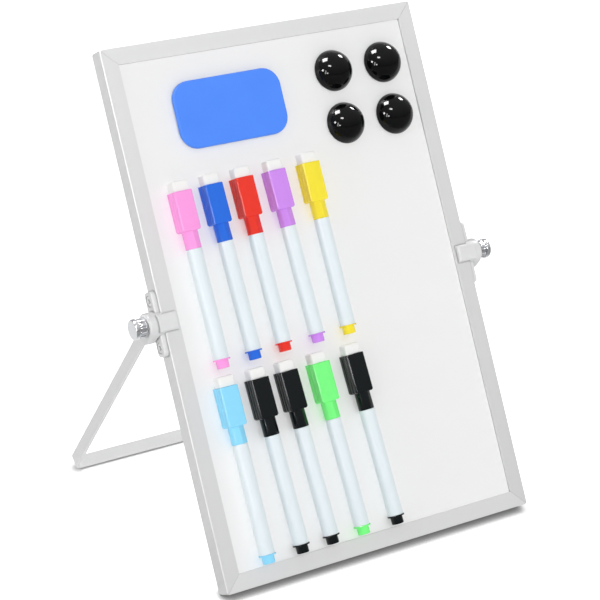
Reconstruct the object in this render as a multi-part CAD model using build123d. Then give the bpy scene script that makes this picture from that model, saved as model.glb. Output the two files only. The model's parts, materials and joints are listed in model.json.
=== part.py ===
from build123d import *
import os
from math import acos, atan2, cos, degrees, hypot, radians, sin

# Magnetic desk whiteboard easel.  Millimetres, +Z up, the writing side faces -Y.
# A framed double-sided board hangs on a level axle at mid-height between the arms of
# a U-shaped strip stand.  The board's lower edge and the stand's crossbar rest on the
# desk.  Ten capped markers, an eraser and four dome magnets sit on the writing sheet.

# ---- board and frame ----
board_width = 203.2          # over the frame, an 8 inch board
board_height = 304.8         # over the frame, 12 inches
frame_depth = 11.0
rail_face = 9.6              # width of the frame seen from the front
flange_thickness = 1.5       # the lips that hold the sheets
outer_wall = 1.2
chamber_width = 2.8          # hollow that takes the corner keys
inner_wall = 1.0
mitre_gap = 0.12
corner_radius = 1.6
rail_edge_radius = 0.6
sheet_thickness = 0.5
panel_clearance = 0.2        # sheets and core inside the rails' grooves
key_leg = 18.0
key_clearance = 0.1
board_lean = 28.7            # degrees back from upright

# ---- pivot brackets on the frame's sides ----
plate_length = 36.5
plate_width = 9.0
plate_thickness = 3.0
plate_corner = 2.6
boss_depth = 3.9             # from the frame's side to the hub
saddle_height = 10.0
saddle_thickness = 3.0       # over the frame's front and back faces
saddle_short = 1.5           # from the saddle's end to the frame's inner edge
saddle_clearance = 0.05
saddle_edge_radius = 1.6
plate_edge_radius = 0.9
screw_spacing = 26.2
screw_shank_radius = 1.5
screw_head_radius = 3.0
screw_ring = 0.3             # gap round the head at the plate's face
screw_head_height = 1.5
screw_length = 6.2
screw_recess = 0.35          # how far the head lies under the plate's face
recess_arm = 3.4             # cross recess, tip to tip
recess_slot = 0.7
recess_depth = 0.9
screw_fit = 0.05
insert_radius = 3.4
insert_length = 3.4
axle_radius = 2.0            # the thumb-screws' threaded shank
axle_clearance = 0.05
axle_hole_gap = 0.6          # loose holes in the rails and brackets
strip_hole_gap = 0.3
axle_end = 3.4               # how far the shank reaches inside the frame's side

# ---- stand ----
arm_length = 166.4           # axle to the crossbar's underside
strip_width = 8.0
strip_thickness = 2.0
strip_bend = 4.0             # inside radius of the two bends
strip_edge_radius = 0.4
hub_diameter = 15.0
hub_lobe = 5.0               # from the axle to the middle of the hub's lower round
hub_thickness = 4.9
hub_edge_radius = 0.9
hub_wall = 1.0               # hub over the strip's outer face
strip_pocket_fit = 0.05

# ---- chrome thumb-screws ----
knob_clearance = 0.1
knob_drum_radius = 5.4
knob_drum_length = 4.2
knob_groove_radius = 4.2
knob_groove_length = 1.0
knob_disc_radius = 5.8
knob_disc_length = 2.6
knob_bevel = 0.5
knob_notches = 12
knob_notch_radius = 0.75

# ---- eraser ----
eraser_width = 68.6
eraser_height = 38.1
eraser_corner = 10.5
eraser_foam_thickness = 3.0
eraser_magnet_thickness = 0.6
eraser_magnet_margin = 1.0
eraser_edge_radius = 0.8
eraser_from_side = 36.3      # its left end inside the frame's left side
eraser_from_top = 24.7       # its upper edge under the frame's top

# ---- dome magnets ----
dome_radius = 12.0
dome_height = 11.0
dome_rim = 1.4
dome_foot_radius = 11.2
dome_foot = 0.5
disc_radius = 8.0
disc_thickness = 3.0
disc_clearance = 0.1
magnet_from_side = 27.4      # right-hand magnets' middles inside the frame's right side
magnet_from_top = 33.0       # upper magnets' middles under the frame's top
magnet_pitch_across = 33.8
magnet_pitch_down = 30.9

# ---- markers, from the plug's end upwards ----
plug_radius = 3.5
plug_length = 4.3
plug_flange_radius = 4.9
plug_flange_thickness = 0.8
plug_stub_radius = 3.2
plug_stub_length = 4.0
barrel_radius = 4.45
barrel_length = 62.1
neck_radius = 3.3
neck_length = 11.0
nose_length = 5.0
nib_radius = 1.0
nib_length = 3.0
skirt_radius = 4.5
skirt_length = 10.0
cap_width = 11.2
cap_depth = 9.2
cap_length = 22.4
cap_bevel = 1.2
cap_bore_clearance = 0.1
cap_bore_end = 8.0           # closed length of the cap above its bore
cap_side_groove = 0.35       # the two shallow grooves along each side
cap_groove_width = 0.7
cap_groove_places = (-1.2, 1.6)
felt_width = 9.4
felt_depth = 7.4
felt_length = 6.0
felt_bevel = 1.1
piece_gap = 0.05             # between a marker's pieces, end to end
marker_clearance = 0.3       # round barrels over the flat sheet
lower_row = 11.1             # plug ends above the board's lower edge
row_gap = 4.7                # from the lower row's ends to the upper row's

# ---- worked out from the sizes above ----
panel_depth = frame_depth - 2 * flange_thickness
groove_bottom = outer_wall + chamber_width + inner_wall
panel_edge = groove_bottom + panel_clearance
writing_face = -panel_depth / 2          # y of the writing sheet's front, board frame
side_face = board_width / 2
hub_inner = side_face + boss_depth
hub_outer = hub_inner + hub_thickness
strip_outer = hub_outer - hub_wall
strip_inner = strip_outer - strip_thickness
lean = radians(board_lean)
round_up = board_height / 2 - rail_edge_radius
round_back = frame_depth / 2 - rail_edge_radius
pivot_height = round_up * cos(lean) + round_back * sin(lean) + rail_edge_radius
# The stand leans until the rounded lower edge of its crossbar meets the desk.
foot_down = arm_length - strip_edge_radius
foot_front = strip_width / 2 - strip_edge_radius
stand_lean = atan2(foot_front, foot_down) + acos(
    (pivot_height - strip_edge_radius) / hypot(foot_down, foot_front)
)
marker_length = (
    plug_length + plug_flange_thickness + barrel_length + skirt_length + cap_length
    + felt_length + 3 * piece_gap
)
marker_axis_height = plug_flange_radius + marker_clearance
upper_row = lower_row + marker_length + row_gap
# name, row, mid-length from the frame's left side, rise over the row, lean in degrees to -X
markers = (
    ("pink", upper_row, 26.7, -0.8, 0.8),
    ("blue", upper_row, 46.7, -0.3, 1.3),
    ("red", upper_row, 66.3, 0.1, 1.2),
    ("purple", upper_row, 87.7, 0.5, 1.7),
    ("yellow", upper_row, 109.5, 0.9, 0.7),
    ("light_blue", lower_row, 26.5, -0.2, 0.7),
    ("black_1", lower_row, 47.3, -0.1, 1.9),
    ("black_2", lower_row, 66.5, 0.0, 2.4),
    ("green", lower_row, 87.3, 0.1, 2.2),
    ("black_3", lower_row, 110.0, 0.2, 2.4),
)
eraser_across = eraser_from_side + eraser_width / 2 - side_face
eraser_up = board_height - eraser_from_top - eraser_height / 2
magnet_right = side_face - magnet_from_side
magnet_top = board_height - magnet_from_top

parts = {}


def across(radius, length, start=0.0):
    """Cylinder along +X from x = start."""
    return Pos(start + length / 2, 0, 0) * Rot(0, 90, 0) * Cylinder(radius, length)


def upright(radius, length, start=0.0):
    """Cylinder along +Z from z = start."""
    return Pos(0, 0, start + length / 2) * Cylinder(radius, length)


def slab(width, height, depth, front):
    """Flat panel in the board's plane, its front face at y = front."""
    return Pos(0, front + depth / 2, 0) * Box(width, depth, height)


def left_of(shape):
    """The same piece on the other side."""
    return mirror(shape, about=Plane.YZ)


def both_sides(shape):
    return Compound([shape, left_of(shape)])


# ---- frame ----
def frame_ring():
    """The whole frame profile round the board, before it is cut into mitred rails."""
    outline = RectangleRounded(board_width, board_height, corner_radius)
    ring = extrude(Plane.XZ * outline, amount=frame_depth / 2, both=True)
    rims = ring.faces().sort_by(Axis.Y)
    ring = fillet(rims[0].edges() + rims[-1].edges(), rail_edge_radius)
    ring -= Box(board_width - 2 * rail_face, 2 * frame_depth, board_height - 2 * rail_face)
    ring -= Box(board_width - 2 * groove_bottom, panel_depth, board_height - 2 * groove_bottom)
    key_out = 2 * outer_wall
    key_in = 2 * (outer_wall + chamber_width)
    chamber = Box(board_width - key_out, panel_depth, board_height - key_out)
    chamber -= Box(board_width - key_in, 2 * panel_depth, board_height - key_in)
    return ring - chamber


def rail_wedge(half_length, half_across):
    """Prism that keeps one side of the ring between its two 45 degree mitres, +Z side."""
    inset = rail_face + corner_radius
    gap = mitre_gap / 2
    outline = Polyline(
        (-half_length + gap, half_across),
        (half_length - gap, half_across),
        (half_length - gap - inset, half_across - inset),
        (-half_length + gap + inset, half_across - inset),
        close=True,
    )
    return extrude(Plane.XZ * make_face(outline), amount=frame_depth, both=True)


def side_holes():
    """Holes in a side rail's outer wall for the bracket's screws and the axle."""
    holes = across(axle_radius + axle_hole_gap, 2 * outer_wall, -2 * outer_wall)
    for place in (-screw_spacing / 2, screw_spacing / 2):
        hole = across(screw_shank_radius + screw_fit, 2 * outer_wall, -2 * outer_wall)
        holes += Pos(0, 0, place) * hole
    return Pos(side_face + outer_wall, 0, 0) * holes


def corner_key():
    """L-shaped key in the chamber at the upper right corner."""
    outer = outer_wall + key_clearance
    thick = chamber_width - 2 * key_clearance
    x = board_width / 2 - outer
    z = board_height / 2 - outer
    outline = Polyline(
        (x - key_leg, z),
        (x, z),
        (x, z - key_leg),
        (x - thick, z - key_leg),
        (x - thick, z - thick),
        (x - key_leg, z - thick),
        close=True,
    )
    depth = panel_depth / 2 - key_clearance
    return extrude(Plane.XZ * make_face(outline), amount=depth, both=True)


def board_parts():
    ring = frame_ring()
    level = rail_wedge(board_width / 2, board_height / 2)
    upright_wedge = Rot(0, 90, 0) * rail_wedge(board_height / 2, board_width / 2)
    holes = side_holes()
    key = corner_key()
    keys = [key, left_of(key)]
    keys += [mirror(piece, about=Plane.XY) for piece in keys]
    width = board_width - 2 * panel_edge
    height = board_height - 2 * panel_edge
    core_depth = panel_depth - 2 * sheet_thickness
    return {
        "top_rail": ring & level,
        "bottom_rail": ring & mirror(level, about=Plane.XY),
        "right_rail": (ring & upright_wedge) - holes,
        "left_rail": (ring & left_of(upright_wedge)) - left_of(holes),
        "corner_keys": Compound(keys),
        "front_sheet": slab(width, height, sheet_thickness, writing_face),
        "core_board": slab(width, height, core_depth, writing_face + sheet_thickness),
        "back_sheet": slab(width, height, sheet_thickness, -writing_face - sheet_thickness),
    }


# ---- brackets, made on the right and mirrored ----
def bracket():
    outline = RectangleRounded(plate_width, plate_length, plate_corner)
    plate = extrude(Plane.YZ * outline, amount=plate_thickness)
    plate = fillet(plate.faces().sort_by(Axis.X)[-1].edges(), plate_edge_radius)
    boss = across(hub_diameter / 2, boss_depth)
    span = frame_depth + 2 * saddle_thickness
    inside = rail_face - saddle_short
    reach = inside + boss_depth
    saddle = Pos(reach / 2 - inside, 0, 0) * Box(reach, span, saddle_height)
    corners = saddle.edges().filter_by(Axis.X)
    ends = saddle.faces().sort_by(Axis.X)[0].edges().filter_by(Axis.Z)
    saddle = fillet(corners + ends, saddle_edge_radius)
    rail = frame_depth + 2 * saddle_clearance
    body = plate + boss + saddle
    body -= Pos(-rail_face, 0, 0) * Box(2 * rail_face, rail, 2 * saddle_height)
    body -= across(insert_radius, insert_length, boss_depth - insert_length)
    body -= across(axle_radius + axle_hole_gap, boss_depth)
    for place in (-screw_spacing / 2, screw_spacing / 2):
        body -= Pos(0, 0, place) * screw_form(screw_fit, screw_ring, plate_thickness)
    return Pos(side_face, 0, 0) * body


def screw_form(shank_gap=0.0, head_gap=0.0, cutter_length=0.0):
    """Countersunk screw along +X; a cutter is larger all round and longer at the head."""
    top = plate_thickness - screw_recess
    head = screw_head_radius + head_gap
    shank = screw_shank_radius + shank_gap
    profile = Polyline(
        (top - screw_length, 0),
        (top - screw_length, shank),
        (top - screw_head_height, shank),
        (top, head),
        (top, 0),
        close=True,
    )
    body = revolve(make_face(profile), Axis.X)
    if cutter_length:
        body += across(head, cutter_length, top)
    return body


def screws():
    """The two screws of one bracket, each with a cross recess."""
    body = screw_form()
    for turn in (45, 135):
        slot = Box(2 * recess_depth, recess_arm, recess_slot)
        body -= Pos(plate_thickness - screw_recess, 0, 0) * Rot(turn, 0, 0) * slot
    places = (-screw_spacing / 2, screw_spacing / 2)
    return [Pos(side_face, 0, place) * body for place in places]


def threaded_insert():
    bush = across(insert_radius, insert_length, boss_depth - insert_length)
    bush -= across(axle_radius + axle_clearance, 2 * boss_depth, -boss_depth)
    return Pos(side_face, 0, 0) * bush


def bracket_parts():
    right = bracket()
    insert = threaded_insert()
    pair = screws()
    return {
        "right_bracket": right,
        "left_bracket": left_of(right),
        "bracket_screws": Compound(pair + [left_of(one) for one in pair]),
        "threaded_inserts": both_sides(insert),
    }


# ---- stand, arms down from the axle before it is leaned ----
def strip_stand():
    """One flat strip bent into a U, with a round drilled end at each hub."""
    outer = Pos(0, -arm_length / 2) * Rectangle(2 * strip_outer, arm_length)
    inner_height = arm_length - strip_thickness
    inner = Pos(0, -inner_height / 2) * Rectangle(2 * strip_inner, inner_height)
    outer = fillet(outer.vertices().group_by(Axis.Y)[0], strip_bend + strip_thickness)
    inner = fillet(inner.vertices().group_by(Axis.Y)[0], strip_bend)
    strip = extrude(Plane.XZ * (outer - inner), amount=strip_width / 2, both=True)
    rims = strip.faces().sort_by(Axis.Y)
    strip = fillet(rims[0].edges() + rims[-1].edges(), strip_edge_radius)
    end = across(strip_width / 2, strip_thickness, strip_inner)
    strip += end + left_of(end)
    return strip - across(axle_radius + strip_hole_gap, 2 * strip_outer, -strip_outer)


def hub():
    """Oval cheek round the axle and down over the strip, with a pocket for the strip."""
    outline = SlotCenterToCenter(hub_lobe, hub_diameter, rotation=90)
    outline = Plane.YZ * Pos(0, -hub_lobe / 2) * outline
    body = Pos(hub_inner, 0, 0) * extrude(outline, amount=hub_thickness)
    body = fillet(body.faces().sort_by(Axis.X)[-1].edges(), hub_edge_radius)
    pocket_width = strip_width + 2 * strip_pocket_fit
    pocket_top = strip_width / 2 + strip_pocket_fit
    pocket_height = hub_lobe + hub_diameter / 2 + pocket_top
    pocket = Box(strip_thickness, pocket_width, pocket_height)
    place = (strip_inner + strip_outer) / 2
    body -= Pos(place, 0, pocket_top - pocket_height / 2) * pocket
    return body - across(axle_radius + axle_clearance, hub_outer)


def thumb_screw():
    """Chrome spool head with grip notches, and a threaded shank through the hub."""
    start = hub_outer + knob_clearance
    groove = start + knob_drum_length
    disc = groove + knob_groove_length
    drum = across(knob_drum_radius, knob_drum_length, start)
    rim = across(knob_disc_radius, knob_disc_length, disc)
    drum = chamfer(drum.edges(), knob_bevel)
    rim = chamfer(rim.edges(), knob_bevel)
    for k in range(knob_notches):
        notch = across(knob_notch_radius, knob_drum_length, start)
        drum -= Rot(360 * k / knob_notches, 0, 0) * Pos(0, 0, knob_drum_radius) * notch
    body = drum + rim + across(knob_groove_radius, knob_groove_length, groove)
    shank = side_face - axle_end
    return body + across(axle_radius, start - shank, shank)


# ---- things on the writing sheet; y = 0 is the sheet's face, -Y away from it ----
def eraser_parts():
    outline = RectangleRounded(eraser_width, eraser_height, eraser_corner)
    foam = extrude(Plane.XZ * outline, amount=eraser_foam_thickness)
    foam = fillet(foam.faces().sort_by(Axis.Y)[0].edges(), eraser_edge_radius)
    margin = 2 * eraser_magnet_margin
    corner = eraser_corner - eraser_magnet_margin
    sheet = RectangleRounded(eraser_width - margin, eraser_height - margin, corner)
    magnet = extrude(Plane.XZ * sheet, amount=eraser_magnet_thickness)
    return {
        "eraser_foam": Pos(0, -eraser_magnet_thickness, 0) * foam,
        "eraser_magnet": magnet,
    }


def dome():
    """Glossy dome on a narrower foot, with a pocket underneath for its magnet disc."""
    crown = dome_height - dome_rim
    crown_radius = (dome_radius**2 + crown**2) / (2 * crown)
    centre_height = dome_height - crown_radius
    start = degrees(atan2(dome_rim - centre_height, dome_radius))
    arc = CenterArc((0, centre_height), crown_radius, start, 90 - start)
    pocket_radius = disc_radius + disc_clearance
    pocket_top = disc_thickness + disc_clearance
    rest = Polyline(
        (0, dome_height),
        (0, pocket_top),
        (pocket_radius, pocket_top),
        (pocket_radius, 0),
        (dome_foot_radius, 0),
        (dome_foot_radius, dome_foot),
        (dome_radius, dome_foot),
        (dome_radius, dome_rim),
    )
    return Rot(90, 0, 0) * revolve(Plane.XZ * make_face(Curve() + arc + rest), Axis.Z)


def magnet_disc():
    return Rot(90, 0, 0) * upright(disc_radius, disc_thickness)


# ---- marker, along +Z from its plug's end, its axis on the Z axis ----
def marker_plug():
    flange = plug_length + plug_flange_thickness
    body = upright(plug_radius, plug_length)
    body += upright(plug_flange_radius, plug_flange_thickness, plug_length)
    return body + upright(plug_stub_radius, plug_stub_length, flange)


def marker_barrel():
    """Barrel with a plug socket below, and above it a neck, a nose and a felt nib."""
    low = plug_length + plug_flange_thickness + piece_gap
    high = low + barrel_length
    neck = high + neck_length
    nose = neck + nose_length
    outline = Polyline(
        (0, low),
        (barrel_radius, low),
        (barrel_radius, high),
        (neck_radius, high),
        (neck_radius, neck),
        (nib_radius, nose),
        (nib_radius, nose + nib_length),
        (0, nose + nib_length),
        close=True,
    )
    body = revolve(Plane.XZ * make_face(outline), Axis.Z)
    socket = upright(plug_stub_radius + piece_gap, plug_stub_length + piece_gap, low - piece_gap)
    return body - socket


def marker_cap():
    """Cap with a flat magnet side on the sheet, a round skirt and a felt eraser pad."""
    skirt_start = plug_length + plug_flange_thickness + barrel_length + 2 * piece_gap
    block_start = skirt_start + skirt_length
    block_end = block_start + cap_length
    skirt = upright(skirt_radius, skirt_length, skirt_start)
    back = marker_axis_height
    block = Box(cap_width, cap_depth, cap_length)
    block = Pos(0, back - cap_depth / 2, (block_start + block_end) / 2) * block
    front = block.faces().sort_by(Axis.Y)[0]
    lower = block.faces().sort_by(Axis.Z)[0].edges().filter_by(Axis.Y)
    block = chamfer(front.edges() + lower, cap_bevel)
    for side in (-1, 1):
        for place in cap_groove_places:
            groove = Box(2 * cap_side_groove, cap_groove_width, cap_length)
            height = back - cap_depth / 2 + place
            block -= Pos(side * cap_width / 2, height, block_start + cap_length / 2) * groove
    bore = neck_radius + cap_bore_clearance
    depth = skirt_length + cap_length - cap_bore_end
    cap = skirt + block - upright(bore, depth, skirt_start)
    pad = Box(felt_width, felt_depth, felt_length)
    pad = chamfer(pad.faces().sort_by(Axis.Z)[-1].edges(), felt_bevel)
    pad_middle = back - cap_depth / 2
    pad = Pos(0, pad_middle, block_end + piece_gap + felt_length / 2) * pad
    return Compound([cap, pad])


# ---- places ----
def on_board(shape):
    return Pos(0, 0, pivot_height) * Rot(-board_lean, 0, 0) * shape


def on_stand(shape):
    return Pos(0, 0, pivot_height) * Rot(degrees(stand_lean), 0, 0) * shape


def on_sheet(shape, x, up):
    return on_board(Pos(x, writing_face, up - board_height / 2) * shape)


def place_marker(shape, up, x, tilt):
    middle = Pos(0, -marker_axis_height, marker_length / 2) * Rot(0, -tilt, 0)
    return on_sheet(middle * Pos(0, 0, -marker_length / 2) * shape, x, up)


for name, shape in {**board_parts(), **bracket_parts()}.items():
    parts[name] = on_board(shape)

right_hub = hub()
parts["stand_strip"] = on_stand(strip_stand())
parts["right_hub"] = on_stand(right_hub)
parts["left_hub"] = on_stand(left_of(right_hub))
knob = thumb_screw()
parts["right_thumb_screw"] = on_stand(knob)
parts["left_thumb_screw"] = on_stand(left_of(knob))

for name, shape in eraser_parts().items():
    parts[name] = on_sheet(shape, eraser_across, eraser_up)
magnet_places = [
    (magnet_right - step * magnet_pitch_across, magnet_top - down * magnet_pitch_down)
    for down in (0, 1)
    for step in (1, 0)
]
for number, (x, up) in enumerate(magnet_places, start=1):
    parts[f"dome_magnet_{number}"] = on_sheet(dome(), x, up)
    parts[f"magnet_disc_{number}"] = on_sheet(magnet_disc(), x, up)
marker_pieces = {"cap": marker_cap(), "barrel": marker_barrel(), "plug": marker_plug()}
for colour, row, from_side, rise, tilt in markers:
    for piece, shape in marker_pieces.items():
        parts[f"{colour}_marker_{piece}"] = place_marker(shape, row + rise, from_side - side_face, tilt)

# The origin is the middle of the whole easel, on the desk.
box = Compound(list(parts.values())).bounding_box()
middle_y = (box.min.Y + box.max.Y) / 2
os.makedirs("parts", exist_ok=True)
for name, shape in parts.items():
    export_step(Pos(0, -middle_y, 0) * shape, f"parts/{name}.step")
print("pivot y, z:", round(-middle_y, 4), round(pivot_height, 4))
print("stand lean:", round(degrees(stand_lean), 3))
print("box:", box)
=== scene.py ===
# %% [markdown]
# A desk easel from construction to finished looks.  A small framed writing board swings on
# a level axle between the arms of a bent strip stand.  Capped markers, a flat eraser and
# four dome magnets hold to its steel writing sheet.  The construction already exists as a
# fixed frame of solids in metres, so this lesson never moves them.  It gives every solid a
# finish, and where moulded, turned or cut shapes need softer edges than the solids have, a
# surface worked out with numpy takes the solid's place.

import json
import math

import bpy
import numpy as np
from mathutils import Matrix, Vector


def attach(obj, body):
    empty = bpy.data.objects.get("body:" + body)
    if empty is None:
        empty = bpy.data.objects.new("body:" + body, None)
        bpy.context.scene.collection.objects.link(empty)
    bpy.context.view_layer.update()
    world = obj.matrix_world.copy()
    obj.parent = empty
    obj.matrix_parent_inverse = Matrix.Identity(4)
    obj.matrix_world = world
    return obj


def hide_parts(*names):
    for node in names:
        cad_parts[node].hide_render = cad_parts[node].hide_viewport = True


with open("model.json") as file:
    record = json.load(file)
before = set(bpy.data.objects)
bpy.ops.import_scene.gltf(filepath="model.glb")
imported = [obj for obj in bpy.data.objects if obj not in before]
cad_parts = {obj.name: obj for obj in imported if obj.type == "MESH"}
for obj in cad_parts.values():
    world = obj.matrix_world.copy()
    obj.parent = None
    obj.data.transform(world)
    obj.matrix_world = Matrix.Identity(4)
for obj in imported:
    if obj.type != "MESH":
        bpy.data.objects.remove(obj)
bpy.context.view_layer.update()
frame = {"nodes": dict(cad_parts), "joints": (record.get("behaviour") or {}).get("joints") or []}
nodes = frame["nodes"]

# %% [markdown]
# Everything on the writing sheet is square to the board, which leans back.  Three
# directions say where things lie: right along the lower edge, out from the sheet and up
# along the board.  They are read from the joint that lifts the eraser off the sheet, so
# they follow the construction when its lean changes.

# %% Directions of the leaning board
joints = {joint["name"]: joint for joint in frame["joints"]}
right = np.array([1.0, 0.0, 0.0])
out = np.array(joints["eraser_lift"]["axis"], float)
out /= np.linalg.norm(out)
up = np.cross(out, right)
board_lean = math.atan2(up[1], up[2])
board_turn = (-board_lean, 0.0, 0.0)
pivot = np.array(joints["board_tilt"]["pos_m"], float)
print("board leans back", round(math.degrees(board_lean), 2), "degrees")

# %% [markdown]
# A surface that replaces a solid has to lie exactly where the solid is.  Its corners are
# therefore read from the frame, and their reach along a direction gives lengths, widths
# and middles without repeating the construction's table of sizes.

# %% Measure a solid
def corners(*names):
    """Every corner of the named solids, one row of x, y and z each."""
    found = []
    for name in names:
        vertices = nodes[name].data.vertices
        flat = np.empty(3 * len(vertices), np.float32)
        vertices.foreach_get("co", flat)
        found.append(flat.reshape(-1, 3).astype(float))
    return np.concatenate(found)


def reach(points, direction):
    """Lowest and highest place of the points along a direction."""
    along = points @ direction
    return along.min(), along.max()


def middle(points, direction):
    """Place half way between the lowest and the highest point along a direction."""
    return sum(reach(points, direction)) / 2


def foot(points):
    """Point of the sheet under the middle of what lies on it."""
    along_sheet = middle(points, right) * right + middle(points, up) * up
    return along_sheet + reach(points, out)[0] * out


# %% [markdown]
# Moulded and turned pieces are skins: rings of points, one after the other along an axis,
# each ring closed on itself and both ends closed by a fan of triangles round one middle
# point.  Rings could be drawn by hand and bridged in edit mode, but a function of two
# parameters gives the same mesh every time and keeps every edge where it is meant to be.

# %% Skins from rings
def skin(rings):
    """Corners and faces of a tube through rings[i, j], closed at both ends.

    Face i, j joins ring i to ring i + 1 between columns j and j + 1.  Rings run
    anticlockwise round the direction in which i grows, so the faces point outwards.
    """
    count, columns = rings.shape[:2]
    index = np.arange(count * columns).reshape(count, columns)
    following = np.roll(index, -1, axis=1)
    quads = np.stack([index[:-1], following[:-1], following[1:], index[1:]], -1)
    first, last = count * columns, count * columns + 1
    ends = np.stack([rings[0].mean(0), rings[-1].mean(0)])
    low_fan = np.stack([np.full(columns, first), following[0], index[0]], -1)
    high_fan = np.stack([np.full(columns, last), index[-1], following[-1]], -1)
    points = np.concatenate([rings.reshape(-1, 3), ends])
    return points, [quads.reshape(-1, 4), low_fan, high_fan]


def seat(points, origin, x_axis, y_axis, z_axis):
    """Moves local points onto three axes: origin + x * x_axis + y * y_axis + z * z_axis."""
    return origin + points @ np.stack([x_axis, y_axis, z_axis])


sharp_from = math.radians(38)        # edges that bend more than this stay crisp


def add_piece(name, points, faces, finish):
    """A mesh object at the origin, its place in its corners, smooth between crisp edges."""
    mesh = bpy.data.meshes.new(name)
    mesh.vertices.add(len(points))
    mesh.vertices.foreach_set("co", points.astype(np.float32).ravel())
    sizes = np.concatenate([np.full(len(group), group.shape[1]) for group in faces])
    around = np.concatenate([group.ravel() for group in faces])
    mesh.loops.add(len(around))
    mesh.loops.foreach_set("vertex_index", around.astype(np.int32))
    mesh.polygons.add(len(sizes))
    mesh.polygons.foreach_set("loop_start", (np.cumsum(sizes) - sizes).astype(np.int32))
    mesh.polygons.foreach_set("use_smooth", np.ones(len(sizes), bool))
    mesh.update(calc_edges=True)
    mesh.validate()
    mesh.set_sharp_from_angle(angle=sharp_from)
    mesh.materials.append(finish)
    piece = bpy.data.objects.new(name, mesh)
    bpy.context.scene.collection.objects.link(piece)
    return piece


# %% [markdown]
# Real edges are never perfectly sharp, and the thin bright line along a softened edge is
# most of what makes a small object look real.  A profile is drawn as straight runs, and
# each of its corners is then swapped for an arc that touches both runs.

# %% Profiles with rounded corners
def rounded(points, radii, steps=6):
    """An open outline whose inner corners become arcs of the given radii.

    An arc begins radius / tan(half the corner's angle) from the corner, its centre lies
    radius / sin(half the angle) along the bisector, and its points turn evenly between.
    """
    points = np.array(points, float)
    shape = [points[:1]]
    for before, corner, after, radius in zip(points, points[1:], points[2:], radii):
        back = (before - corner) / np.linalg.norm(before - corner)
        ahead = (after - corner) / np.linalg.norm(after - corner)
        half = math.acos(np.clip(back @ ahead, -1, 1)) / 2
        bisector = (back + ahead) / np.linalg.norm(back + ahead)
        centre = corner + bisector * radius / math.sin(half)
        start = corner + back * radius / math.tan(half) - centre
        end = corner + ahead * radius / math.tan(half) - centre
        turn = math.pi - 2 * half
        share = np.linspace(0, 1, steps)[:, None]
        arc = np.sin((1 - share) * turn) * start + np.sin(share * turn) * end
        shape.append(centre + arc / math.sin(turn))
    shape.append(points[-1:])
    return np.concatenate(shape)


def turned(profile, columns):
    """Rings of a lathe surface: radius times (cosine, sine) of the angle, at each height."""
    angle = np.arange(columns) * 2 * np.pi / columns
    circle = np.stack([np.cos(angle), np.sin(angle), 0 * angle], -1)
    radius, height = profile[:, 0, None, None], profile[:, 1, None, None]
    return radius * circle + height * np.array([0.0, 0.0, 1.0])


def box_outline(half_width, half_depth, radius, corner_steps, side_steps):
    """Rings of x, y: four corner arcs joined by straight sides, one ring for each row.

    A corner's points are its middle plus radius times (cosine, sine) over its quarter
    turn.  A side's points lie evenly between the end of one arc and the start of the next.
    """
    quarter = np.linspace(0, np.pi / 2, corner_steps)
    angle = quarter + np.arange(4)[:, None] * np.pi / 2
    sign = np.array([[1, 1], [-1, 1], [-1, -1], [1, -1]])
    size = np.stack([half_width - radius, half_depth - radius], -1)[:, None, None, :]
    arc = np.stack([np.cos(angle), np.sin(angle)], -1)[None]
    arcs = sign[None, :, None, :] * size + radius[:, None, None, None] * arc
    share = np.linspace(0, 1, side_steps + 2)[1:-1, None]
    ends, starts = arcs[:, :, -1:], np.roll(arcs, -1, axis=1)[:, :, :1]
    sides = ends * (1 - share) + starts * share
    return np.concatenate([arcs, sides], axis=2).reshape(len(radius), -1, 2)


def with_height(flat, height):
    """Rings of x, y and z from rings of x and y and the height of each ring."""
    level = np.broadcast_to(np.asarray(height)[:, None, None], (*flat.shape[:2], 1))
    return np.concatenate([flat, level], -1)


mm = 0.001
tiny = 2e-5                          # ring left round a closed end's middle, in any unit

# %% [markdown]
# Finishes are node trees, and a tree full of Math nodes is hard to read as a picture.  A
# small class wraps a socket, so that 0.3 + 0.1 * noise adds the nodes that say the same.
# Every other node comes from one method, which sets the node's settings first, such as an
# operation or a ramp's stops, and then its sockets.  The room's light is a node tree too
# and is filled in the same way.

# %% Shader arithmetic
class Value:
    """A number that varies over a surface.  Its sums, products and powers add Math nodes."""

    def __init__(self, owner, socket):
        self.owner = owner
        self.socket = socket

    def math(self, operation, other):
        return self.owner.node("Math", {"operation": operation}, {0: self, 1: other})

    def __add__(self, other):
        return self.math("ADD", other)

    def __mul__(self, other):
        return self.math("MULTIPLY", other)

    def __pow__(self, other):
        return self.math("POWER", other)

    __radd__ = __add__
    __rmul__ = __mul__


class ShaderTree:
    """The emptied node tree of a material or a world, filled one call at a time."""

    def __init__(self, owner):
        owner.use_nodes = True
        self.tree = owner.node_tree
        self.tree.nodes.clear()

    def node(self, kind, settings=None, sockets=None, output=0):
        """Adds a node, sets its settings, then its sockets, and returns one output."""
        made = self.tree.nodes.new("ShaderNode" + kind)
        for key, value in (settings or {}).items():
            if key == "stops":
                for stop, (place, shade) in zip(made.color_ramp.elements, value):
                    stop.position, stop.color = place, shade
            else:
                setattr(made, key, value)
        for key, value in (sockets or {}).items():
            if isinstance(value, Value):
                self.tree.links.new(value.socket, made.inputs[key])
            else:
                made.inputs[key].default_value = value
        return Value(self, made.outputs[output]) if len(made.outputs) else None

# %% [markdown]
# A colour is easiest to write as six hexadecimal digits, as screens and paint charts give
# it.  Shaders reckon with linear light, so each channel is taken back through the screen's
# curve first.

# %% Colours
def colour(code):
    """Linear red, green, blue and opacity of a colour written as six hexadecimal digits."""
    share = np.array([int(code[i:i + 2], 16) for i in (0, 2, 4)]) / 255
    linear = np.where(share <= 0.04045, share / 12.92, ((share + 0.055) / 1.055) ** 2.4)
    return (*linear.tolist(), 1.0)


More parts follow.
